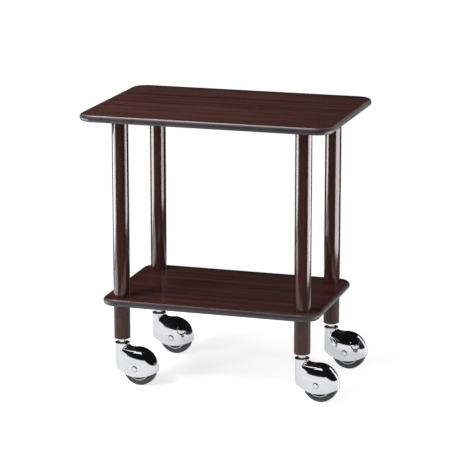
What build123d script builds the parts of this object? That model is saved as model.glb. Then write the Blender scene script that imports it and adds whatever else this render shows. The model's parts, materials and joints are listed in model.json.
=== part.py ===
from build123d import *
import math
import os

# Gueridon trolley: two boards on four round posts, with short legs on swivel casters.
# Millimetres, +Z up, front towards -Y. The origin is on the floor, in the middle of the footprint.

# Boards, measured over their bumpers; the lower one is set back on every side
top_length = 700.0
top_width = 500.0
lower_setback = 44.0
corner_radius = 45.0
board_thickness = 18.0

# Bumper strip: a D-section with a tongue in the board's edge groove
bumper_bulge = 5.0
bumper_fit = 0.1
tongue_thickness = 2.2
tongue_depth = 8.0
groove_play = 0.2

# Posts and legs, their axes set in from the lower board's edges
post_diameter = 45.0
post_inset_x = 50.0
post_inset_y = 49.0
post_length = 498.0
leg_length = 100.0
post_end_chamfer = 0.6
leg_foot_radius = 2.0

# Studs and threaded inserts that join boards, posts and legs
stud_diameter = 10.0
insert_diameter = 16.0
post_insert_length = 25.0
top_insert_length = 12.0
insert_room = 1.5
press_gap = 0.05
thread_gap = 0.1
stud_hole_gap = 0.4

# Caster: heights above the floor, and the offset of the wheel behind the swivel axis
caster_height = 126.0
wheel_diameter = 102.0
trail = 55.0
parked_angle = -11.0

# Stem: thread in the leg socket, bright collar, pintle in the hood's barrel
stem_thread_diameter = 12.0
stem_thread_length = 34.0
socket_diameter = 20.0
socket_length = 35.0
collar_diameter = 20.6
collar_height = 12.0
collar_chamfer = 0.8
pintle_diameter = 11.0
running_gap = 0.05
swivel_gap = 0.2
washer_diameter = 29.0
washer_thickness = 2.0
washer_play = 0.3
bush_wall = 2.5
clip_diameter = 19.0
clip_thickness = 1.2
clip_groove_depth = 1.0
clip_gap = 0.3
pintle_end = 2.0

# Hood: a dome about the axle, joined by a smooth saddle to an upright barrel round the stem
hood_radius = 57.0
hood_half_width = 30.0
shoulder_radius = 25.0
hood_wall = 2.5
barrel_diameter = 37.5
barrel_length = 35.0
lip_diameter = 42.5
lip_height = 7.0
lip_edge_radius = 0.8
blend_radius = 8.0
skirt_height = 27.0
skirt_radius = 125.0
skirt_forward = 5.0
saddle_height = 53.5
saddle_shoulder = 13.0
saddle_inset = 0.9

# Axle, with a rounded rivet head in a shallow dish on each side of the hood
axle_diameter = 8.0
rivet_diameter = 15.6
rivet_round = 2.6
rivet_height = 3.2
dish_diameter = 17.0
dish_depth = 1.0

# Wheel centre and tyre
hub_diameter = 22.0
hub_play = 0.9
web_thickness = 7.0
rim_diameter = 73.0
rim_wall = 3.0
rim_width = 25.6
rib_count = 6
rib_thickness = 3.0
rib_inset = 1.5
tyre_width = 29.0
tyre_bead_width = 23.0
tyre_shoulder_drop = 8.0

# Brake on the rear casters: place on the cheek from the axle, knob, boss and pad
brake_along = 32.0
brake_up = 26.0
boss_diameter = 28.0
boss_height = 3.0
knob_diameter = 21.0
knob_skirt = 4.8
knob_dome = 3.0
knob_recess = 3.0
knob_travel = 2.5
knob_floor_gap = 0.2
knob_side_gap = 0.35
knob_pin_diameter = 5.0
pad_diameter = 7.0
pad_thickness = 1.8
pad_gap = 0.9
pad_socket_depth = 1.0

LOW = (Align.CENTER, Align.CENTER, Align.MIN)
HIGH = (Align.CENTER, Align.CENTER, Align.MAX)
UP = Vector(0, 0, 1)

# Plan sizes worked out from the top board inwards
lower_length = top_length - 2 * lower_setback
lower_width = top_width - 2 * lower_setback
post_pitch_x = lower_length - 2 * post_inset_x
post_pitch_y = lower_width - 2 * post_inset_y

# Levels worked out from the stack of pieces
leg_bottom = caster_height
leg_top = leg_bottom + leg_length
lower_surface = leg_top + board_thickness
post_top = lower_surface + post_length
axle_height = wheel_diameter / 2
barrel_top = leg_bottom - collar_height
barrel_floor = barrel_top - barrel_length
trim_level = skirt_height / 2
washer_seat = barrel_top - washer_thickness
clip_top = barrel_floor - clip_gap
clip_bottom = clip_top - clip_thickness
stem_bottom = clip_bottom - pintle_end

# Radii shared by pieces that fit together
axle_line = Axis((trail, 0, axle_height), (0, 1, 0))
cheek_radius = (
    hood_radius**2 - 2 * hood_radius * shoulder_radius + hood_half_width**2
) / (2 * (hood_half_width - shoulder_radius))
bush_radius = pintle_diameter / 2 + running_gap + bush_wall
# Outlines of the saddle from the bottom up: the level, the front round as a share of the barrel,
# and the rear round's place and size as shares of the trail and of the hood's half width
saddle_rounds = (
    (trim_level, 1.0, 0.820, 0.777),
    (axle_height, 1.0, 0.418, 0.830),
    (axle_height + 0.449 * saddle_height, 1.0, 0.575, 0.832),
    (axle_height + 0.748 * saddle_height, 0.96, 0.823, 0.767),
    (axle_height + saddle_height, 0.77, 0.945, 0.567),
)
insert_radius = insert_diameter / 2
insert_bore = insert_radius + press_gap
stud_radius = stud_diameter / 2


def rounded_plate(length, width, radius, thickness):
    return extrude(RectangleRounded(length, width, radius), thickness)


def board(length, width):
    """A board inside its bumper, with the groove for the bumper's tongue round its edge."""
    inset = bumper_bulge + bumper_fit
    size_x = length - 2 * inset
    size_y = width - 2 * inset
    radius = corner_radius - inset
    groove_depth = tongue_depth + groove_play
    groove_width = tongue_thickness + 2 * groove_play
    plate = rounded_plate(size_x, size_y, radius, board_thickness)
    rim = rounded_plate(size_x, size_y, radius, groove_width)
    core = rounded_plate(
        size_x - 2 * groove_depth,
        size_y - 2 * groove_depth,
        radius - groove_depth,
        groove_width,
    )
    groove = Pos(0, 0, (board_thickness - groove_width) / 2) * (rim - core)
    return plate - groove


def bumper(length, width):
    """The D-section strip, swept once round the board's edge."""
    rim = RectangleRounded(
        length - 2 * bumper_bulge,
        width - 2 * bumper_bulge,
        corner_radius - bumper_bulge,
    )
    path = Pos(0, 0, board_thickness / 2) * rim.wire()
    start = path @ 0
    outward = (path % 0).cross(UP)
    if outward.dot(start) < 0:
        outward = -outward
    half = board_thickness / 2
    nose = ThreePointArc((0, -half), (bumper_bulge, 0), (0, half))
    back = Line((0, half), (0, -half))
    tongue = Pos(-tongue_depth / 2, 0) * Rectangle(tongue_depth, tongue_thickness)
    section = make_face([nose, back]) + tongue
    plane = Plane(origin=start, x_dir=outward, z_dir=outward.cross(UP))
    return sweep(plane * section, path=path)


def round_bar(diameter, length):
    return Cylinder(diameter / 2, length, align=LOW)


def tube(outer_radius, inner_radius, length):
    outer = Cylinder(outer_radius, length, align=LOW)
    inner = Cylinder(inner_radius, length, align=LOW)
    return outer - inner


def post():
    """A round post with an insert bore in each end."""
    bar = round_bar(post_diameter, post_length)
    bar = chamfer(bar.edges(), post_end_chamfer)
    depth = post_insert_length + insert_room
    bar -= Cylinder(insert_bore, depth, align=LOW)
    bar -= Pos(0, 0, post_length) * Cylinder(insert_bore, depth, align=HIGH)
    return bar


def leg():
    """A short leg: an insert bore on top, the caster socket's bore below, a rounded foot."""
    bar = round_bar(post_diameter, leg_length)
    foot = bar.edges().sort_by(Axis.Z)[0]
    bar = fillet(foot, leg_foot_radius)
    head = bar.edges().sort_by(Axis.Z)[-1]
    bar = chamfer(head, post_end_chamfer)
    socket_bore = socket_diameter / 2 + press_gap
    bar -= Cylinder(socket_bore, socket_length + insert_room, align=LOW)
    insert_depth = post_insert_length + insert_room
    bar -= Pos(0, 0, leg_length) * Cylinder(insert_bore, insert_depth, align=HIGH)
    return bar


def dome(inset):
    """The hood's dome about the axle: two cheek arcs joined by a crown arc, set in by inset."""
    radius = shoulder_radius - inset
    cheek = cheek_radius - inset
    half = hood_half_width - inset
    lean = math.degrees(math.atan2(hood_radius - shoulder_radius, cheek_radius - hood_half_width))
    far = JernArc((trail, half), (1, 0), cheek, -lean)
    crown = JernArc(far @ 1, far % 1, radius, -2 * (90 - lean))
    near = JernArc(crown @ 1, crown % 1, cheek, -lean)
    axis_edge = Line(near @ 1, far @ 0)
    profile = make_face([far, crown, near, axis_edge])
    return revolve(Pos(0, 0, axle_height) * profile, axle_line, 360)


def barrel(bottom):
    """The hood's barrel round the stem, curving out to a flared lip at the top."""
    side = barrel_diameter / 2
    rim = lip_diameter / 2
    lip_bottom = barrel_top - lip_height
    flare = TangentArc((side, lip_bottom), (rim, barrel_top), tangent=(0, 1))
    outline = Polyline(
        (rim, barrel_top), (0, barrel_top), (0, bottom), (side, bottom), (side, lip_bottom)
    )
    body = revolve(Plane.XZ * make_face([flare, outline]), Axis.Z, 360)
    return fillet(body.edges().sort_by(Axis.Z)[-1], lip_edge_radius)


def saddle():
    """The smooth cheeks between barrel and dome: stacked outlines, leaning in towards the top."""
    front = barrel_diameter / 2 - saddle_inset
    outlines = []
    for level, narrow, reach, wide in saddle_rounds:
        small = Circle(narrow * front)
        large = Pos(reach * trail, 0) * Circle(wide * hood_half_width)
        outlines.append(Pos(0, 0, level) * make_hull(small.edges() + large.edges()))
    body = loft(outlines)
    return fillet(body.faces().sort_by(Axis.Z)[-1].edges(), saddle_shoulder)


def across(diameter, start, end):
    """A round bar along the axle, from one distance beside the wheel's middle to another."""
    plane = Plane(origin=(trail, start, axle_height), x_dir=(1, 0, 0), z_dir=(0, 1, 0))
    return plane * Cylinder(diameter / 2, end - start, align=LOW)


def brake_plane():
    """The seat of the brake knob: on the near cheek, with its axis square to the surface."""
    along = brake_along / cheek_radius
    lift = brake_up / cheek_radius
    outward = Vector(along, -math.sqrt(1 - along**2 - lift**2), lift)
    middle = Vector(trail, cheek_radius - hood_half_width, axle_height)
    return Plane(origin=middle + outward * cheek_radius, x_dir=(1, 0, 0), z_dir=outward)


def hood(braked):
    """The cast hood: dome, saddle and barrel blended together, trimmed to a skirt and hollowed."""
    reach = 2 * (trail + hood_radius)
    above = Pos(0, 0, trim_level) * Box(2 * reach, reach, reach, align=LOW)
    cap = (dome(0) & above) + saddle()
    neck = barrel(trim_level)
    body = cap + neck
    body = fillet(new_edges(cap, neck, combined=body), blend_radius)
    if braked:
        boss_length = hood_wall + boss_height
        boss = Pos(0, 0, -hood_wall) * Cylinder(boss_diameter / 2, boss_length, align=LOW)
        body += brake_plane() * boss
    skirt = Plane(
        origin=(trail - skirt_forward, 0, skirt_height + skirt_radius),
        x_dir=(1, 0, 0),
        z_dir=(0, 1, 0),
    ) * Cylinder(skirt_radius, reach)
    body = body & skirt
    throat = Cylinder(barrel_diameter / 2 - hood_wall, barrel_floor, align=LOW)
    body -= dome(hood_wall)
    body -= throat
    body -= Cylinder(bush_radius + press_gap, barrel_top, align=LOW)
    recess = Cylinder(washer_diameter / 2 + washer_play, washer_thickness, align=LOW)
    body -= Pos(0, 0, washer_seat) * recess
    dish_floor = hood_half_width - dish_depth
    outside = hood_half_width + dish_depth
    body -= across(axle_diameter + 2 * press_gap, -outside, outside)
    body -= across(dish_diameter, dish_floor, outside)
    body -= across(dish_diameter, -outside, -dish_floor)
    if braked:
        recess = Cylinder(knob_diameter / 2 + knob_side_gap, knob_recess, align=HIGH)
        body -= brake_plane() * Pos(0, 0, boss_height) * recess
        pin_bore = Cylinder(knob_pin_diameter / 2 + running_gap, 2 * boss_diameter)
        body -= brake_plane() * pin_bore
    return body


def stem():
    """Threaded end, collar and pintle, turned from one bar, with a groove for the clip."""
    collar_low = barrel_top + swivel_gap
    thread = Pos(0, 0, leg_bottom) * round_bar(stem_thread_diameter, stem_thread_length)
    collar = Pos(0, 0, collar_low) * round_bar(collar_diameter, leg_bottom - collar_low)
    collar = chamfer(collar.edges(), collar_chamfer)
    pintle = Pos(0, 0, stem_bottom) * round_bar(pintle_diameter, collar_low - stem_bottom)
    groove = tube(pintle_diameter / 2, pintle_diameter / 2 - clip_groove_depth, clip_thickness)
    return thread + collar + pintle - Pos(0, 0, clip_bottom) * groove


def thrust_washer():
    ring = tube(washer_diameter / 2, pintle_diameter / 2 + washer_play, washer_thickness)
    return Pos(0, 0, washer_seat + swivel_gap) * ring


def stem_clip():
    ring = tube(clip_diameter / 2, pintle_diameter / 2 - clip_groove_depth, clip_thickness)
    return Pos(0, 0, clip_bottom) * ring


def swivel_bush():
    length = washer_seat - barrel_floor
    return Pos(0, 0, barrel_floor) * tube(bush_radius, pintle_diameter / 2 + running_gap, length)


def turned_about_axle(edges):
    """Turns a closed outline about the axle: X is the radius, Y the distance along the axle."""
    profile = make_face(edges)
    return revolve(Pos(trail, 0, axle_height) * profile, axle_line, 360)


def axle():
    """A plain pin with a flat head, rounded at its edge, riveted over each end."""
    pin = axle_diameter / 2
    head = rivet_diameter / 2
    flat = head - rivet_round
    seat = hood_half_width - dish_depth
    tip = seat + rivet_height
    edge = tip - rivet_round
    far_round = TangentArc((flat, tip), (head, edge), tangent=(1, 0))
    near_round = TangentArc((head, -edge), (flat, -tip), tangent=(0, -1))
    side = Polyline(
        (head, edge), (head, seat), (pin, seat), (pin, -seat), (head, -seat), (head, -edge)
    )
    middle = Polyline((flat, -tip), (0, -tip), (0, tip), (flat, tip))
    return turned_about_axle([far_round, side, near_round, middle])


def wheel_centre():
    """Hub, web, ribs and a rim with rounded lips in one moulding, running on the axle."""
    bore = axle_diameter / 2 + running_gap
    hub = hub_diameter / 2
    hub_half = hood_half_width - hood_wall - hub_play
    web = web_thickness / 2
    rim = rim_diameter / 2
    rim_half = rim_width / 2
    rim_low = rim - rim_wall
    lip = rim - rim_wall / 2
    lip_edge = rim_half - rim_wall / 2
    far_lip = ThreePointArc((rim_low, lip_edge), (lip, rim_half), (rim, lip_edge))
    near_lip = ThreePointArc((rim, -lip_edge), (lip, -rim_half), (rim_low, -lip_edge))
    seat = Line((rim, lip_edge), (rim, -lip_edge))
    inside = Polyline(
        (rim_low, -lip_edge), (rim_low, -web), (hub, -web), (hub, -hub_half), (bore, -hub_half),
        (bore, hub_half), (hub, hub_half), (hub, web), (rim_low, web), (rim_low, lip_edge),
    )
    centre = turned_about_axle([far_lip, seat, near_lip, inside])
    # The ribs' ends lie halfway into the walls of hub and rim, and their edges inside the rim's.
    rib_start = (bore + hub) / 2
    rib_end = rim - rim_wall / 2
    rib = Box(rib_end - rib_start, rim_width - 2 * rib_inset, rib_thickness)
    for turn in range(rib_count):
        angle = 360 * turn / rib_count
        spoke = Rot(0, angle, 0) * Pos((rib_start + rib_end) / 2, 0, 0) * rib
        centre += Pos(trail, 0, axle_height) * spoke
    return centre


def tyre():
    """A solid rubber tyre with leaning sides and a crowned tread."""
    bead = rim_diameter / 2 + press_gap
    bead_half = tyre_bead_width / 2
    half = tyre_width / 2
    tread = wheel_diameter / 2
    shoulder = tread - tyre_shoulder_drop
    crown = ThreePointArc((shoulder, half), (tread, 0), (shoulder, -half))
    near = Polyline((shoulder, -half), (bead, -bead_half), (bead, bead_half), (shoulder, half))
    return turned_about_axle([crown, near])


def brake_knob():
    """A domed push knob with a pin through the hood's cheek to the pad."""
    under = boss_height - knob_recess + knob_floor_gap + knob_travel
    sphere = (knob_diameter**2 / 4 + knob_dome**2) / (2 * knob_dome)
    top = under + knob_skirt + knob_dome
    grip = Pos(0, 0, under) * round_bar(knob_diameter, knob_skirt + knob_dome)
    grip = grip & (Pos(0, 0, top - sphere) * Sphere(sphere))
    pin_end = -hood_wall - pad_gap - pad_socket_depth
    pin = Pos(0, 0, pin_end) * round_bar(knob_pin_diameter, under - pin_end)
    return brake_plane() * (grip + pin)


def brake_pad():
    """The friction pad on the pin's end, facing the tyre's side."""
    back = -hood_wall - pad_gap
    pad = Pos(0, 0, back) * Cylinder(pad_diameter / 2, pad_thickness, align=HIGH)
    socket = Cylinder(knob_pin_diameter / 2 + press_gap, pad_socket_depth, align=HIGH)
    return brake_plane() * (pad - Pos(0, 0, back) * socket)


# Parked casters trail to the right and reach past the top, so the frame stands a little left.
plain_hood = hood(False)
braked_hood = hood(True)
hood_reach = (Rot(0, 0, parked_angle) * plain_hood).bounding_box().max.X
overreach = post_pitch_x / 2 + hood_reach - top_length / 2
frame_x = -max(overreach, 0) / 2
frame_place = Pos(frame_x, 0, 0)
corners = {
    "front_left": (-1, -1),
    "front_right": (1, -1),
    "rear_left": (-1, 1),
    "rear_right": (1, 1),
}
post_places = {
    name: Pos(frame_x + side * post_pitch_x / 2, depth * post_pitch_y / 2, 0)
    for name, (side, depth) in corners.items()
}


def at_posts(shape, level):
    """One copy of a piece at each post axis, as separate solids."""
    return Compound([place * Pos(0, 0, level) * shape for place in post_places.values()])


# Boards: blind insert bores under the top board, stud holes through the lower board
top_bore = Cylinder(insert_bore, top_insert_length + insert_room, align=LOW)
stud_hole = Cylinder(stud_radius + stud_hole_gap, board_thickness, align=LOW)
top_board = frame_place * Pos(0, 0, post_top) * board(top_length, top_width)
lower_board = frame_place * Pos(0, 0, leg_top) * board(lower_length, lower_width)
for place in post_places.values():
    top_board -= place * Pos(0, 0, post_top) * top_bore
    lower_board -= place * Pos(0, 0, leg_top) * stud_hole

nodes = {
    "top_board": top_board,
    "top_bumper": frame_place * Pos(0, 0, post_top) * bumper(top_length, top_width),
    "lower_board": lower_board,
    "lower_bumper": frame_place * Pos(0, 0, leg_top) * bumper(lower_length, lower_width),
}

# Hidden fixings, in groups of four
stud_bore = stud_radius + thread_gap
post_insert = tube(insert_radius, stud_bore, post_insert_length)
top_stud = round_bar(stud_diameter, post_insert_length + top_insert_length)
shelf_stud = round_bar(stud_diameter, 2 * post_insert_length + board_thickness)
socket = tube(socket_diameter / 2, stem_thread_diameter / 2 + thread_gap, socket_length)
nodes["top_board_inserts"] = at_posts(tube(insert_radius, stud_bore, top_insert_length), post_top)
nodes["top_studs"] = at_posts(top_stud, post_top - post_insert_length)
nodes["post_top_inserts"] = at_posts(post_insert, post_top - post_insert_length)
nodes["post_bottom_inserts"] = at_posts(post_insert, lower_surface)
nodes["shelf_studs"] = at_posts(shelf_stud, leg_top - post_insert_length)
nodes["leg_top_inserts"] = at_posts(post_insert, leg_top - post_insert_length)
nodes["caster_sockets"] = at_posts(socket, leg_bottom)
nodes["thrust_washers"] = at_posts(thrust_washer(), 0)
nodes["stem_clips"] = at_posts(stem_clip(), 0)

# Posts, legs and casters, corner by corner
for name, place in post_places.items():
    caster = place * Rot(0, 0, parked_angle)
    braked = name.startswith("rear")
    nodes[f"post_{name}"] = place * Pos(0, 0, lower_surface) * post()
    nodes[f"leg_{name}"] = place * Pos(0, 0, leg_bottom) * leg()
    nodes[f"stem_{name}"] = place * stem()
    nodes[f"hood_{name}"] = caster * (braked_hood if braked else plain_hood)
    nodes[f"swivel_bush_{name}"] = caster * swivel_bush()
    nodes[f"axle_{name}"] = caster * axle()
    nodes[f"wheel_centre_{name}"] = caster * wheel_centre()
    nodes[f"tyre_{name}"] = caster * tyre()
    if braked:
        nodes[f"brake_knob_{name}"] = caster * brake_knob()
        nodes[f"brake_pad_{name}"] = caster * brake_pad()

os.makedirs("parts", exist_ok=True)
for name, shape in nodes.items():
    export_step(shape, f"parts/{name}.step")

# Joint lines, for reference: swivel and wheel axes at each corner, and the brake's push axis
for name, place in post_places.items():
    caster = place * Rot(0, 0, parked_angle)
    hub = (caster * Pos(trail, 0, axle_height)).position
    print(name, "swivel", tuple(place.position), "wheel", tuple(hub))
seat = Rot(0, 0, parked_angle) * brake_plane().location
push = -(Plane(seat).z_dir)
print("brake seat from swivel axis", tuple(seat.position), "push", tuple(push))
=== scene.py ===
import json
import math

import bpy
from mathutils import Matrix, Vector


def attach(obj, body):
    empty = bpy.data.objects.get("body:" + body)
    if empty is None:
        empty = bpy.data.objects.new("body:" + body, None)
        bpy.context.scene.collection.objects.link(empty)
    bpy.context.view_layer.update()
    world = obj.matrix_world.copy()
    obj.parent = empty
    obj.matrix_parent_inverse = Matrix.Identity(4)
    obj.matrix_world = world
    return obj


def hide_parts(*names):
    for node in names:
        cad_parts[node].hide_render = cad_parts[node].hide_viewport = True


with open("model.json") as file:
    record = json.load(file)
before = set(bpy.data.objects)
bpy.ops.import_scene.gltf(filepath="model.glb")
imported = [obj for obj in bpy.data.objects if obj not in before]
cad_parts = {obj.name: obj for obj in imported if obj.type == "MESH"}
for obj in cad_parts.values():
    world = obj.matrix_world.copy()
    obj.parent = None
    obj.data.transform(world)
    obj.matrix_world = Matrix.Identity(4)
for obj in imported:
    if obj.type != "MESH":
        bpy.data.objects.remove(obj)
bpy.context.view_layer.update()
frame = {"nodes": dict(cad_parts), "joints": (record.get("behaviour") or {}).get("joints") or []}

# Camera: a long lens a little to the right of the trolley's front, looking slightly down on it.
# The picture is square, and the lens is given for a 36 mm sensor.
azimuth = math.radians(17.01)
elevation = math.radians(13.70)
view_distance = 6.0585
aim = Vector((-0.0056, 0.0, 0.4152))
sensor_width = 36.0
lens = 172.9
scene = bpy.context.scene
scene.view_settings.view_transform = "Standard"
back = Vector((
    math.sin(azimuth) * math.cos(elevation),
    -math.cos(azimuth) * math.cos(elevation),
    math.sin(elevation),
))
bpy.ops.object.select_all(action="DESELECT")
bpy.ops.object.camera_add(location=aim + back * view_distance)
camera = bpy.context.object
camera.rotation_mode = "QUATERNION"
camera.rotation_quaternion = back.to_track_quat("Z", "Y")
camera.data.sensor_width = sensor_width
camera.data.lens = lens
scene.camera = camera

# Floor: pale seamless studio paper under the trolley, running out into a plain floor. It takes the
# lamps' light and the trolley's shadow, and has a little light of its own for the camera, so that it
# reads as white; in reflections the floor further off is dim.
floor_size = 16.0
floor_height = -0.0005
paper_reach = 0.70
paper_fade = 0.30
paper_colour = (0.80, 0.80, 0.80, 1)
mirrored_paper = (0.34, 0.34, 0.34, 1)
paper_glow = 0.70
mirrored_glow = 0.56
far_glow = 1.0
mirrored_far_glow = 0.06


def bare_material(name):
    """A material with an empty tree; gives the material and the tree."""
    material = bpy.data.materials.new(name)
    material.use_nodes = True
    material.node_tree.nodes.clear()
    return material, material.node_tree


def add(tree, kind, operation=None, **values):
    """A node with values on its named inputs."""
    node = tree.nodes.new(kind)
    if operation is not None:
        node.operation = operation
    for name, value in values.items():
        node.inputs[name.replace("_", " ")].default_value = value
    return node


def glow(tree, strength):
    """Plain white light of one strength."""
    return add(tree, "ShaderNodeEmission", Strength=strength).outputs[0]


def summed(tree, first, second):
    """Two shaders added together."""
    node = tree.nodes.new("ShaderNodeAddShader")
    tree.links.new(first, node.inputs[0])
    tree.links.new(second, node.inputs[1])
    return node.outputs[0]


def either(tree, factor, first, second):
    """The first shader where the factor is 0, and the second where it is 1."""
    node = tree.nodes.new("ShaderNodeMixShader")
    tree.links.new(factor, node.inputs[0])
    tree.links.new(first, node.inputs[1])
    tree.links.new(second, node.inputs[2])
    return node.outputs[0]


def show(tree, shader, kind="ShaderNodeOutputMaterial"):
    """Makes a shader the tree's surface."""
    tree.links.new(shader, tree.nodes.new(kind).inputs["Surface"])


bpy.ops.object.select_all(action="DESELECT")
bpy.ops.mesh.primitive_plane_add(size=floor_size, location=(0, 0, floor_height))
floor = bpy.context.object
floor.name = "studio_floor"
floor_paper, tree = bare_material("floor_paper")
place = tree.nodes.new("ShaderNodeTexCoord")
distance = add(tree, "ShaderNodeVectorMath", "LENGTH")
tree.links.new(place.outputs["Object"], distance.inputs[0])
far = add(tree, "ShaderNodeMapRange", From_Min=paper_reach, From_Max=paper_reach + paper_fade)
tree.links.new(distance.outputs["Value"], far.inputs["Value"])
lit_paper = add(tree, "ShaderNodeBsdfDiffuse", Color=paper_colour).outputs[0]
dim_paper = add(tree, "ShaderNodeBsdfDiffuse", Color=mirrored_paper).outputs[0]
to_camera = summed(tree, lit_paper, glow(tree, paper_glow))
to_camera = either(tree, far.outputs[0], to_camera, glow(tree, far_glow))
to_metal = summed(tree, dim_paper, glow(tree, mirrored_glow))
to_metal = either(tree, far.outputs[0], to_metal, glow(tree, mirrored_far_glow))
path = tree.nodes.new("ShaderNodeLightPath")
surface = either(tree, path.outputs["Is Glossy Ray"], lit_paper, to_metal)
surface = either(tree, path.outputs["Is Camera Ray"], surface, to_camera)
show(tree, surface)
floor.data.materials.append(floor_paper)

# Reflector: a low ring of white board standing on the floor round the trolley, out of the camera's
# sight, which gives the chrome a white lower half with a clear edge.
reflector_radius = 0.75
reflector_height = 0.120
reflector_facets = 96
reflector_glow = 0.86


def only_in_reflections(sheet):
    """Hides a sheet from the camera, and keeps its light and shadow off the trolley."""
    sheet.visible_camera = False
    sheet.visible_diffuse = False
    sheet.visible_shadow = False


bpy.ops.object.select_all(action="DESELECT")
bpy.ops.mesh.primitive_cylinder_add(
    vertices=reflector_facets, radius=reflector_radius, depth=reflector_height,
    end_fill_type="NOTHING", location=(0, 0, reflector_height / 2),
)
reflector = bpy.context.object
reflector.name = "reflector_board"
reflector_white, tree = bare_material("reflector_white")
show(tree, glow(tree, reflector_glow))
reflector.data.materials.append(reflector_white)
only_in_reflections(reflector)

# Studio: the plain room round the trolley. It is white behind it for the camera, lights all sides with
# an even fill, and is almost black in reflections, so that chrome and varnish keep their dark tones.
fill_level = 0.22
room_level = 0.005
white = (1, 1, 1, 1)
world = bpy.data.worlds.new("studio")
scene.world = world
world.use_nodes = True
tree = world.node_tree
tree.nodes.clear()
path = tree.nodes.new("ShaderNodeLightPath")
level = add(tree, "ShaderNodeMix", A=fill_level, B=room_level)
tree.links.new(path.outputs["Is Glossy Ray"], level.inputs["Factor"])
room = add(tree, "ShaderNodeBackground", Color=white)
tree.links.new(level.outputs["Result"], room.inputs["Strength"])
backdrop = add(tree, "ShaderNodeBackground", Color=white)
surface = either(tree, path.outputs["Is Camera Ray"], room.outputs[0], backdrop.outputs[0])
show(tree, surface, "ShaderNodeOutputWorld")


# Lamps: soft boxes on stands. The main one is high on the left in front, with a low one below it for
# the posts and a small one on the right; these three light the trolley but don't show in its polish.
# A wide weak one hangs overhead.
def soft_box(name, place, target, width, height, radiance, in_polish=False):
    """A lamp at a place, turned towards a target."""
    bpy.ops.object.select_all(action="DESELECT")
    bpy.ops.object.light_add(type="AREA", location=place)
    lamp = bpy.context.object
    lamp.name = name
    lamp.rotation_mode = "QUATERNION"
    lamp.rotation_quaternion = (Vector(place) - Vector(target)).to_track_quat("Z", "Y")
    lamp.data.shape = "RECTANGLE"
    lamp.data.size = width
    lamp.data.size_y = height
    lamp.data.energy = radiance * math.pi * width * height
    lamp.visible_camera = False
    lamp.visible_glossy = in_polish


soft_box("key_box", (-1.15, -1.20, 1.75), (0, 0, 0.6), width=0.9, height=0.6, radiance=13.0)
soft_box("overhead_box", (-0.4, -0.3, 2.4), (0, 0, 0.5), width=1.6, height=1.4, radiance=2.2, in_polish=True)
soft_box("low_box", (-1.5, -2.1, 0.95), (0, 0, 0.45), width=1.0, height=0.6, radiance=14.0)
soft_box("right_box", (1.15, -0.10, 0.55), (0.25, 0.10, 0.50), width=0.3, height=0.6, radiance=5.0)


# Side panels: upright sheets of diffused light that only show in polished faces. A wide one on the left
# and a near one on the right give the posts their bright edges, a tall one hangs above the right one,
# and dim ones hang at the back. They fade out towards the floor.
def object_axes(tree):
    """The place on a piece, as X, Y and Z."""
    place = tree.nodes.new("ShaderNodeTexCoord")
    axes = tree.nodes.new("ShaderNodeSeparateXYZ")
    tree.links.new(place.outputs["Object"], axes.inputs[0])
    return axes.outputs


def light_up(panel, radiance, low=-1.0, full=0.0):
    """Makes a sheet glow for reflections only; the glow grows from a low height to a full one."""
    panel_glow, tree = bare_material(f"{panel.name}_glow")
    fade = add(tree, "ShaderNodeMapRange", From_Min=low, From_Max=full, To_Max=radiance)
    tree.links.new(object_axes(tree)["Z"], fade.inputs["Value"])
    light = tree.nodes.new("ShaderNodeEmission")
    tree.links.new(fade.outputs[0], light.inputs["Strength"])
    show(tree, light.outputs[0])
    panel.data.materials.append(panel_glow)
    only_in_reflections(panel)


def side_panel(name, start, end, low, full, high, radiance):
    """An upright glowing sheet that runs between two places on the floor."""
    run = Vector(end) - Vector(start)
    middle = (Vector(start) + Vector(end)) / 2
    bpy.ops.object.select_all(action="DESELECT")
    bpy.ops.mesh.primitive_plane_add(size=1.0, location=(0, 0, 0))
    panel = bpy.context.object
    panel.name = name
    bpy.ops.object.mode_set(mode="EDIT")
    bpy.ops.mesh.select_all(action="SELECT")
    bpy.ops.transform.resize(value=(run.length, high - low, 1))
    bpy.ops.transform.rotate(value=-math.pi / 2, orient_axis="X", center_override=(0, 0, 0))
    bpy.ops.object.mode_set(mode="OBJECT")
    panel.rotation_euler = (0, 0, math.atan2(run.y, run.x))
    panel.location = (middle.x, middle.y, (low + high) / 2)
    bpy.ops.object.transform_apply(location=True, rotation=True, scale=True)
    light_up(panel, radiance, low, full)


for name, start, end, low, full, high, radiance in (
    ("left_panel", (-1.60, -1.16), (-1.45, 0.12), 0.0, 0.12, 0.46, 9.5),
    ("right_panel", (0.82, -0.275), (0.86, 0.45), 0.158, 0.19, 0.62, 8.0),
    ("tall_panel", (0.85, 0.05), (0.86, 0.25), 1.10, 1.12, 2.2, 3.5),
    ("back_right_panel", (0.75, 2.5), (1.8, 2.3), 0.16, 0.17, 2.2, 0.9),
    ("back_low_panel", (1.5, 2.5), (-1.5, 2.5), 0.35, 0.45, 1.1, 0.032),
    ("back_high_panel", (1.5, 2.5), (-1.5, 2.5), 1.1, 1.2, 2.0, 0.014),
):
    side_panel(name, start, end, low, full, high, radiance)


# Ceiling panel and floor strip: level sheets of diffused light that only show in polished faces. The
# one overhead gives the bumpers their sheen, and the one on the floor at the left carries the posts'
# bright edges down to the lower board.
def level_sheet(name, low_corner, high_corner, height):
    """A flat sheet between two corners, level at a height."""
    bpy.ops.object.select_all(action="DESELECT")
    bpy.ops.mesh.primitive_plane_add(size=1.0, location=(0, 0, 0))
    sheet = bpy.context.object
    sheet.name = name
    sheet.scale = (high_corner[0] - low_corner[0], high_corner[1] - low_corner[1], 1)
    sheet.location = (
        (low_corner[0] + high_corner[0]) / 2, (low_corner[1] + high_corner[1]) / 2, height,
    )
    bpy.ops.object.transform_apply(location=True, rotation=True, scale=True)
    return sheet


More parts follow.
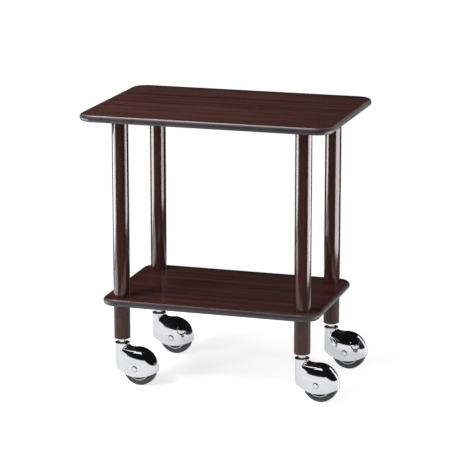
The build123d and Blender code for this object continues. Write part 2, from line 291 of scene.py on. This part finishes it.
light_up(level_sheet("floor_strip", (-1.50, -1.10), (-0.85, 0.12), 0.001), radiance=3.0)
light_up(level_sheet("ceiling_panel", (-1.35, -0.60), (-0.15, 0.90), 2.3), radiance=12.0)

# Shades: black sheets hung level, a low tent round the casters and a few beside the lower board. Seen
# from above they are clear, and from beneath they are black, so they keep the bright panels out of the
# chrome and out of the board's polish, and leave the posts' reflections alone.
tent_height = 0.157
shade_level = 0.006
shade_black, tree = bare_material("shade_black")
clear = tree.nodes.new("ShaderNodeBsdfTransparent")
facing = tree.nodes.new("ShaderNodeNewGeometry")
show(tree, either(tree, facing.outputs["Backfacing"], clear.outputs[0], glow(tree, shade_level)))
for name, low_corner, high_corner, height in (
    ("caster_tent", (-1.35, -1.0), (1.0, 1.0), tent_height),
    ("left_shade", (-1.42, -1.25), (-0.33, 0.60), 0.30),
    ("right_shade_low", (0.33, -0.60), (0.80, 0.80), 0.30),
    ("right_shade_middle", (0.33, -0.60), (0.80, 0.80), 0.36),
    ("right_shade_high", (0.33, -0.60), (0.80, 0.80), 0.44),
):
    shade = level_sheet(name, low_corner, high_corner, height)
    shade.data.materials.append(shade_black)
    only_in_reflections(shade)

# Cards: small white cards under the tent, upright and level ones beside the right casters for the
# streaks in their chrome, and one in front of each front caster for the bright arc over its dome.
card_glow = 1.1
card_height = tent_height - 0.001
streak_reach = 0.18
streak_width = 0.06
streak_foot = 0.02
top_card_reach = 0.11
top_card_width = 0.05
arc_left, arc_right = -0.08, 0.05
arc_front, arc_back = -0.262, -0.222
for name, stem_x, stem_y in (("front", 0.248, -0.157), ("rear", 0.248, 0.157)):
    streak_x = stem_x + streak_reach
    side_panel(
        f"{name}_streak_card", (streak_x, stem_y), (streak_x, stem_y + streak_width),
        low=streak_foot, full=streak_foot + 0.001, high=card_height, radiance=card_glow,
    )
    card = level_sheet(
        f"{name}_top_card", (stem_x + top_card_reach, stem_y),
        (streak_x, stem_y + top_card_width), card_height,
    )
    light_up(card, card_glow)
for name, stem_x in (("left", -0.264), ("right", 0.248)):
    card = level_sheet(
        f"{name}_arc_card", (stem_x + arc_left, arc_front), (stem_x + arc_right, arc_back), card_height,
    )
    light_up(card, card_glow)

# Boards: particle board faced with dark wood-grain laminate, pressed on hot, the grain along the
# length. The underside is painted near black, as painted shade under the boards. Satin, with faint
# wiping marks.
across_grain = 55.0
board_undersides = {"top_board": 0.742, "lower_board": 0.226}
underside_shade_band = 0.0006
underside_shade_tone = (0.011, 0.009, 0.008, 1)
laminate_dark = (0.034, 0.0100, 0.0072, 1)
laminate_light = (0.130, 0.0410, 0.0300, 1)


def new_material(name):
    """A material with only its shader; gives the material, its tree and the shader."""
    material = bpy.data.materials.new(name)
    material.use_nodes = True
    return material, material.node_tree, material.node_tree.nodes["Principled BSDF"]


def new_group(name, inputs, outputs):
    """An empty node group with its sockets; gives the group and its two end nodes."""
    group = bpy.data.node_groups.new(name, "ShaderNodeTree")
    for direction, sockets in (("INPUT", inputs), ("OUTPUT", outputs)):
        for socket, kind in sockets.items():
            group.interface.new_socket(socket, in_out=direction, socket_type=f"NodeSocket{kind}")
    return group, group.nodes.new("NodeGroupInput"), group.nodes.new("NodeGroupOutput")


def use_group(tree, group, **values):
    """A group in a material's tree, on Object coordinates."""
    place = tree.nodes.new("ShaderNodeTexCoord")
    node = tree.nodes.new("ShaderNodeGroup")
    node.node_tree = group
    for name, value in values.items():
        node.inputs[name].default_value = value
    tree.links.new(place.outputs["Object"], node.inputs["Vector"])
    return node


marks, given, result = new_group(
    "handling_marks",
    {"Vector": "Vector", "Scale": "Float", "Low": "Float", "High": "Float"},
    {"Roughness": "Float", "Smear": "Float"},
)
cloud = add(marks, "ShaderNodeTexNoise", Detail=5.0, Roughness=0.62, Distortion=0.6)
marks.links.new(given.outputs["Vector"], cloud.inputs["Vector"])
marks.links.new(given.outputs["Scale"], cloud.inputs["Scale"])
spread = add(marks, "ShaderNodeMapRange", From_Min=0.38, From_Max=0.66)
marks.links.new(cloud.outputs["Fac"], spread.inputs["Value"])
marks.links.new(spread.outputs[0], result.inputs["Smear"])
reach = add(marks, "ShaderNodeMapRange")
marks.links.new(spread.outputs[0], reach.inputs["Value"])
marks.links.new(given.outputs["Low"], reach.inputs["To Min"])
marks.links.new(given.outputs["High"], reach.inputs["To Max"])
marks.links.new(reach.outputs[0], result.inputs["Roughness"])


def marked(tree, shader, scale, low, high):
    """Puts the handling marks on a shader's roughness; gives the smears as a mask."""
    group = use_group(tree, marks, Scale=scale, Low=low, High=high)
    tree.links.new(group.outputs["Roughness"], shader.inputs["Roughness"])
    return group.outputs["Smear"]


grain, given, result = new_group(
    "dark_wood_grain",
    {"Vector": "Vector", "Stretch": "Vector", "Dark": "Color", "Light": "Color"},
    {"Tone": "Color", "Relief": "Float"},
)
stretched = add(grain, "ShaderNodeVectorMath", "MULTIPLY")
grain.links.new(given.outputs["Vector"], stretched.inputs[0])
grain.links.new(given.outputs["Stretch"], stretched.inputs[1])
figure = add(grain, "ShaderNodeTexNoise", Scale=0.8, Detail=5.0, Roughness=0.6, Distortion=0.35)
streak = add(grain, "ShaderNodeTexNoise", Scale=9.0, Detail=4.0, Roughness=0.65)
pore = add(grain, "ShaderNodeTexNoise", Scale=34.0, Detail=1.0)
for texture in (figure, streak, pore):
    grain.links.new(stretched.outputs[0], texture.inputs["Vector"])
share = add(grain, "ShaderNodeMix", Factor=0.45)
grain.links.new(figure.outputs["Fac"], share.inputs["A"])
grain.links.new(streak.outputs["Fac"], share.inputs["B"])
contrast = add(grain, "ShaderNodeMapRange", From_Min=0.38, From_Max=0.63)
grain.links.new(share.outputs["Result"], contrast.inputs["Value"])
tone = grain.nodes.new("ShaderNodeMix")
tone.data_type = "RGBA"
grain.links.new(contrast.outputs[0], tone.inputs["Factor"])
grain.links.new(given.outputs["Dark"], tone.inputs["A"])
grain.links.new(given.outputs["Light"], tone.inputs["B"])
open_pore = add(grain, "ShaderNodeMapRange", From_Min=0.60, From_Max=0.70, To_Min=1.0, To_Max=0.45)
grain.links.new(pore.outputs["Fac"], open_pore.inputs["Value"])
pored = add(grain, "ShaderNodeVectorMath", "SCALE")
grain.links.new(tone.outputs["Result"], pored.inputs[0])
grain.links.new(open_pore.outputs[0], pored.inputs["Scale"])
grain.links.new(pored.outputs["Vector"], result.inputs["Tone"])
grain.links.new(open_pore.outputs[0], result.inputs["Relief"])


def grained(tree, shader, depth, **tones):
    """Puts the wood grain on a shader's base and normal; gives the tone."""
    group = use_group(tree, grain, **tones)
    bump = add(tree, "ShaderNodeBump", Strength=0.5, Distance=depth)
    tree.links.new(group.outputs["Relief"], bump.inputs["Height"])
    tree.links.new(bump.outputs["Normal"], shader.inputs["Normal"])
    tree.links.new(group.outputs["Tone"], shader.inputs["Base Color"])
    return group.outputs["Tone"]


def blended(tree, shader, factor, first, second):
    """Mixes two colours, or a colour socket and a colour, on a shader's base."""
    mix = tree.nodes.new("ShaderNodeMix")
    mix.data_type = "RGBA"
    tree.links.new(factor, mix.inputs["Factor"])
    for name, colour in (("A", first), ("B", second)):
        if isinstance(colour, tuple):
            mix.inputs[name].default_value = colour
        else:
            tree.links.new(colour, mix.inputs[name])
    tree.links.new(mix.outputs["Result"], shader.inputs["Base Color"])
    return mix.outputs["Result"]


def dress(names, material):
    """Gives CAD pieces a material in place of the plain one they came with."""
    for name in names:
        mesh = frame["nodes"][name].data
        mesh.materials.clear()
        mesh.materials.append(material)


for board, underside in board_undersides.items():
    board_laminate, tree, shader = new_material(f"{board}_look")
    marked(tree, shader, scale=7.0, low=0.20, high=0.26)
    tone = grained(
        tree, shader, depth=0.00001, Stretch=(1.0, across_grain, across_grain),
        Dark=laminate_dark, Light=laminate_light,
    )
    # Painted shade: the underside and its lowest edge are painted near black.
    shaded_underside = add(tree, "ShaderNodeMath", "LESS_THAN")
    shaded_underside.inputs[1].default_value = underside + underside_shade_band
    tree.links.new(object_axes(tree)["Z"], shaded_underside.inputs[0])
    blended(tree, shader, shaded_underside.outputs[0], tone, underside_shade_tone)
    dress([board], board_laminate)

# Bumpers: dark grey vinyl, extruded with a round face and a barb, pressed into a groove round each
# board. The ends meet in a butt joint at the middle of the back. A fine leathery skin.
vinyl_dark = (0.023, 0.0228, 0.0262, 1)
vinyl_light = (0.034, 0.033, 0.0375, 1)
vinyl_sheen = (1.0, 0.88, 0.94, 1)
joint_half_width = 0.0005
joint_tone = (0.008, 0.008, 0.009, 1)


def speckled(tree, shader, scale, depth):
    """A fine moulded texture on a shader's normal."""
    place = tree.nodes.new("ShaderNodeTexCoord")
    grit = add(tree, "ShaderNodeTexNoise", Scale=scale, Detail=2.0)
    bump = add(tree, "ShaderNodeBump", Strength=0.35, Distance=depth)
    tree.links.new(place.outputs["Object"], grit.inputs["Vector"])
    tree.links.new(grit.outputs["Fac"], bump.inputs["Height"])
    tree.links.new(bump.outputs["Normal"], shader.inputs["Normal"])


bumper_vinyl, tree, shader = new_material("bumper_vinyl_look")
smear = marked(tree, shader, scale=22.0, low=0.46, high=0.54)
shader.inputs["Specular IOR Level"].default_value = 1.0
shader.inputs["Specular Tint"].default_value = vinyl_sheen
tone = blended(tree, shader, smear, vinyl_dark, vinyl_light)
axes = object_axes(tree)
middle = add(tree, "ShaderNodeMath", "COMPARE")
middle.inputs[1].default_value = 0.0
middle.inputs[2].default_value = joint_half_width
tree.links.new(axes["X"], middle.inputs[0])
behind = add(tree, "ShaderNodeMath", "GREATER_THAN")
behind.inputs[1].default_value = 0.0
tree.links.new(axes["Y"], behind.inputs[0])
joint_line = add(tree, "ShaderNodeMath", "MULTIPLY")
tree.links.new(middle.outputs[0], joint_line.inputs[0])
tree.links.new(behind.outputs[0], joint_line.inputs[1])
blended(tree, shader, joint_line.outputs[0], tone, joint_tone)
speckled(tree, shader, scale=2400.0, depth=0.00002)
dress(["top_bumper", "lower_bumper"], bumper_vinyl)

# Fixings: steel inserts screwed into the boards, posts and legs, with studs through the joints, and
# the casters' sockets. Zinc plated, dull, with a yellowish cast in places; hidden in the wood.
zinc_grey = (0.58, 0.58, 0.59, 1)
zinc_yellow = (0.52, 0.50, 0.46, 1)
zinc, tree, shader = new_material("zinc_plate_look")
shader.inputs["Metallic"].default_value = 1.0
smear = marked(tree, shader, scale=60.0, low=0.28, high=0.45)
blended(tree, shader, smear, zinc_grey, zinc_yellow)
dress(["top_board_inserts", "top_studs", "post_top_inserts", "post_bottom_inserts", "shelf_studs",
       "leg_top_inserts", "caster_sockets"], zinc)

# Posts and legs: turned hardwood, stained dark red-brown and varnished to a gloss, the grain upright.
# The studs hold them to the boards. The legs are rubbed by shoes and mops, so their varnish is duller.
corners = ("front_left", "front_right", "rear_left", "rear_right")
stain_dark = (0.020, 0.0062, 0.0046, 1)
stain_light = (0.080, 0.0262, 0.0195, 1)
varnish_roughness = 0.07
for name, pieces, coat, low, high in (
    ("post_varnish_look", "post_", 1.0, 0.16, 0.24),
    ("leg_varnish_look", "leg_", 0.45, 0.26, 0.36),
):
    varnish, tree, shader = new_material(name)
    marked(tree, shader, scale=14.0, low=low, high=high)
    grained(
        tree, shader, depth=0.00002, Stretch=(across_grain, across_grain, 1.0),
        Dark=stain_dark, Light=stain_light,
    )
    shader.inputs["Specular IOR Level"].default_value = 0.2
    shader.inputs["Coat Weight"].default_value = coat
    shader.inputs["Coat Roughness"].default_value = varnish_roughness
    dress([f"{pieces}{corner}" for corner in corners], varnish)

# Caster stems and hoods: steel stems turned from bar, and zinc castings polished by hand, all chromium
# plated over nickel, which leaves a faint violet cast. Finger smears dull the mirror a little. A thin ring
# of painted shade darkens each axle's dish edge. Each stem has a zinc plated washer and clip.
chrome_bright = (0.885, 0.895, 0.935, 1)
chrome_smeared = (0.835, 0.845, 0.89, 1)
dish_radius = 0.0082
dish_shade_width = 0.0006
dish_shade_tone = (0.05, 0.05, 0.055, 1)


def plated(name):
    """A chromed material; gives the material, its tree, the shader and the plating's tone."""
    material, tree, shader = new_material(name)
    shader.inputs["Metallic"].default_value = 1.0
    smear = marked(tree, shader, scale=30.0, low=0.04, high=0.08)
    tone = blended(tree, shader, smear, chrome_bright, chrome_smeared)
    return material, tree, shader, tone


about_axle, given, result = new_group(
    "about_axle",
    {"Vector": "Vector", "Hub": "Vector", "Axle": "Vector"},
    {"Radius": "Float"},
)
offset = add(about_axle, "ShaderNodeVectorMath", "SUBTRACT")
about_axle.links.new(given.outputs["Vector"], offset.inputs[0])
about_axle.links.new(given.outputs["Hub"], offset.inputs[1])
round_way = add(about_axle, "ShaderNodeVectorMath", "CROSS_PRODUCT")
about_axle.links.new(offset.outputs[0], round_way.inputs[0])
about_axle.links.new(given.outputs["Axle"], round_way.inputs[1])
radius = add(about_axle, "ShaderNodeVectorMath", "LENGTH")
about_axle.links.new(round_way.outputs[0], radius.inputs[0])
about_axle.links.new(radius.outputs["Value"], result.inputs["Radius"])

hubs = {}
for corner in corners:
    joint = next(j for j in frame["joints"] if j["name"] == f"wheel_spin_{corner}")
    hub, axle = Vector(joint["pos_m"]), Vector(joint["axis"]).normalized()
    hubs[corner] = hub, axle
    hood_chrome, tree, shader, tone = plated(f"hood_chrome_{corner}_look")
    turned = use_group(tree, about_axle, Hub=hub, Axle=axle)
    # Painted shade: a thin dark ring at the edge of the dish round the axle's head.
    shaded_dish_ring = add(tree, "ShaderNodeMath", "COMPARE")
    shaded_dish_ring.inputs[1].default_value = dish_radius
    shaded_dish_ring.inputs[2].default_value = dish_shade_width
    tree.links.new(turned.outputs["Radius"], shaded_dish_ring.inputs[0])
    blended(tree, shader, shaded_dish_ring.outputs[0], tone, dish_shade_tone)
    dress([f"hood_{corner}"], hood_chrome)
chrome = plated("chrome_look")[0]
dress([f"stem_{corner}" for corner in corners], chrome)
dress(["thrust_washers", "stem_clips"], zinc)

# Swivel bushes: sleeves that the hoods turn on, sintered from bronze powder and brown with the oil
# they are soaked in. Each is pressed into its hood, round the stem.
bronze_bright = (0.52, 0.36, 0.18, 1)
bronze_oiled = (0.36, 0.24, 0.11, 1)
bronze, tree, shader = new_material("bronze_look")
shader.inputs["Metallic"].default_value = 1.0
smear = marked(tree, shader, scale=60.0, low=0.35, high=0.5)
blended(tree, shader, smear, bronze_bright, bronze_oiled)
dress([f"swivel_bush_{corner}" for corner in corners], bronze)

# Brakes: steel push knobs on the near cheek of the rear hoods, turned and chromed. Each has a pin
# through the hood's wall, with a hard rubber pad on its end that is pushed against the tyre.
braked_corners = ("rear_left", "rear_right")
pad_dark = (0.05, 0.05, 0.05, 1)
pad_light = (0.08, 0.078, 0.075, 1)
dress([f"brake_knob_{corner}" for corner in braked_corners], chrome)
pad_rubber, tree, shader = new_material("pad_rubber_look")
smear = marked(tree, shader, scale=60.0, low=0.7, high=0.85)
blended(tree, shader, smear, pad_dark, pad_light)
dress([f"brake_pad_{corner}" for corner in braked_corners], pad_rubber)

# Axles: steel pins that carry the wheels, turned and chromed. Each passes through both cheeks of its
# hood and is riveted over in their dishes.
dress([f"axle_{corner}" for corner in corners], chrome)

# Wheel centres: moulded plastic discs, dark blue-grey between hub and rim, darkened further as painted
# shade of the recess under the hood, with a pale bright lip at the rim that holds the tyre. They turn on
# the axles with a running fit.
lip_radius = 0.0333
lip_blur = 0.0003
shaded_plastic_dark = (0.018, 0.021, 0.035, 1)
shaded_plastic_light = (0.028, 0.031, 0.046, 1)
lip_tone = (0.88, 0.89, 0.92, 1)
for corner in corners:
    hub, axle = hubs[corner]
    wheel_plastic, tree, shader = new_material(f"wheel_plastic_{corner}_look")
    smear = marked(tree, shader, scale=45.0, low=0.20, high=0.34)
    # Painted shade: the disc between hub and rim is darkened for the shaded recess under the hood.
    tone = blended(tree, shader, smear, shaded_plastic_dark, shaded_plastic_light)
    turned = use_group(tree, about_axle, Hub=hub, Axle=axle)
    lip = add(tree, "ShaderNodeMapRange", From_Min=lip_radius - lip_blur, From_Max=lip_radius + lip_blur)
    tree.links.new(turned.outputs["Radius"], lip.inputs["Value"])
    blended(tree, shader, lip.outputs[0], tone, lip_tone)
    tree.links.new(lip.outputs[0], shader.inputs["Metallic"])
    shader.inputs["Specular IOR Level"].default_value = 0.25
    speckled(tree, shader, scale=1900.0, depth=0.0001)
    dress([f"wheel_centre_{corner}"], wheel_plastic)

# Tyres: solid grey rubber rings, moulded with round shoulders and stretched over the wheel centres,
# with dust from the floor on the tread. The first is a short cylinder with an opened middle, leaning
# sides and a rounded tread, and each wheel gets a copy of it.
tread_radius = 0.051
bead_radius = 0.03655
tyre_width = 0.029
bead_width = 0.023
shoulder_round = 0.0098
shoulder_steps = 9
shoulder_fullness = 0.56
crease_angle = math.radians(35)
tyre_facets = 112
slack = 0.001
rubber_dark = (0.040, 0.042, 0.045, 1)
rubber_light = (0.062, 0.064, 0.067, 1)
dust_depth = 0.0014
dust_share = 0.45
dust_tone = (0.15, 0.145, 0.14, 1)


def enter(obj, mode, test):
    """Goes into edit mode with only the vertices, edges or faces chosen that pass the test."""
    bpy.ops.object.mode_set(mode="EDIT")
    bpy.ops.mesh.select_mode(type=mode)
    bpy.ops.mesh.select_all(action="DESELECT")
    bpy.ops.object.mode_set(mode="OBJECT")
    items = {"VERT": obj.data.vertices, "EDGE": obj.data.edges, "FACE": obj.data.polygons}[mode]
    for item in items:
        item.select = test(item)
    bpy.ops.object.mode_set(mode="EDIT")


def ends(edge):
    """The two places that an edge of the first tyre joins."""
    return [first_tyre.data.vertices[i].co for i in edge.vertices]


def by_bead(point):
    """Whether a place is at the ring that grips the wheel centre."""
    return point.xy.length < bead_radius + slack


def along_shoulder(edge):
    """Whether an edge runs round the tread's rim, and not across the tread."""
    first, second = ends(edge)
    at_tread = min(first.xy.length, second.xy.length) > tread_radius - slack
    return at_tread and abs(first.z - second.z) < slack


bpy.ops.object.select_all(action="DESELECT")
bpy.ops.mesh.primitive_cylinder_add(
    vertices=tyre_facets, radius=tread_radius, depth=tyre_width, location=(0, 0, 0),
)
first_tyre = bpy.context.object
enter(first_tyre, "FACE", lambda face: abs(face.normal.z) > 0.9)
bpy.ops.mesh.inset(thickness=tread_radius - bead_radius)
bpy.ops.mesh.delete(type="FACE")
for side in (-1, 1):
    enter(first_tyre, "VERT", lambda vertex: by_bead(vertex.co) and vertex.co.z * side > 0)
    bpy.ops.transform.translate(value=(0, 0, -side * (tyre_width - bead_width) / 2))
enter(first_tyre, "EDGE", lambda edge: all(by_bead(point) for point in ends(edge)))
bpy.ops.mesh.bridge_edge_loops()
enter(first_tyre, "EDGE", along_shoulder)
bpy.ops.mesh.bevel(offset=shoulder_round, segments=shoulder_steps, profile=shoulder_fullness)
bpy.ops.mesh.select_all(action="SELECT")
bpy.ops.mesh.normals_make_consistent(inside=False)
bpy.ops.object.mode_set(mode="OBJECT")
bpy.ops.object.shade_smooth_by_angle(angle=crease_angle)

for corner in corners:
    hub, axle = hubs[corner]
    bpy.ops.object.select_all(action="DESELECT")
    first_tyre.select_set(True)
    bpy.context.view_layer.objects.active = first_tyre
    bpy.ops.object.duplicate()
    tyre = bpy.context.object
    tyre.name = f"rubber_tyre_{corner}"
    tyre.location = hub
    tyre.rotation_euler = axle.to_track_quat("Z", "Y").to_euler()
    bpy.ops.object.transform_apply(location=True, rotation=True, scale=True)
    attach(tyre, f"wheel_{corner}")
    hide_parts(f"tyre_{corner}")
    tyre_rubber, tree, shader = new_material(f"tyre_rubber_{corner}_look")
    smear = marked(tree, shader, scale=38.0, low=0.42, high=0.62)
    tone = blended(tree, shader, smear, rubber_dark, rubber_light)
    turned = use_group(tree, about_axle, Hub=hub, Axle=axle)
    dust = add(
        tree, "ShaderNodeMapRange",
        From_Min=tread_radius - dust_depth, From_Max=tread_radius, To_Max=dust_share,
    )
    tree.links.new(turned.outputs["Radius"], dust.inputs["Value"])
    blended(tree, shader, dust.outputs[0], tone, dust_tone)
    speckled(tree, shader, scale=2600.0, depth=0.0002)
    tyre.data.materials.clear()
    tyre.data.materials.append(tyre_rubber)
bpy.data.objects.remove(first_tyre)
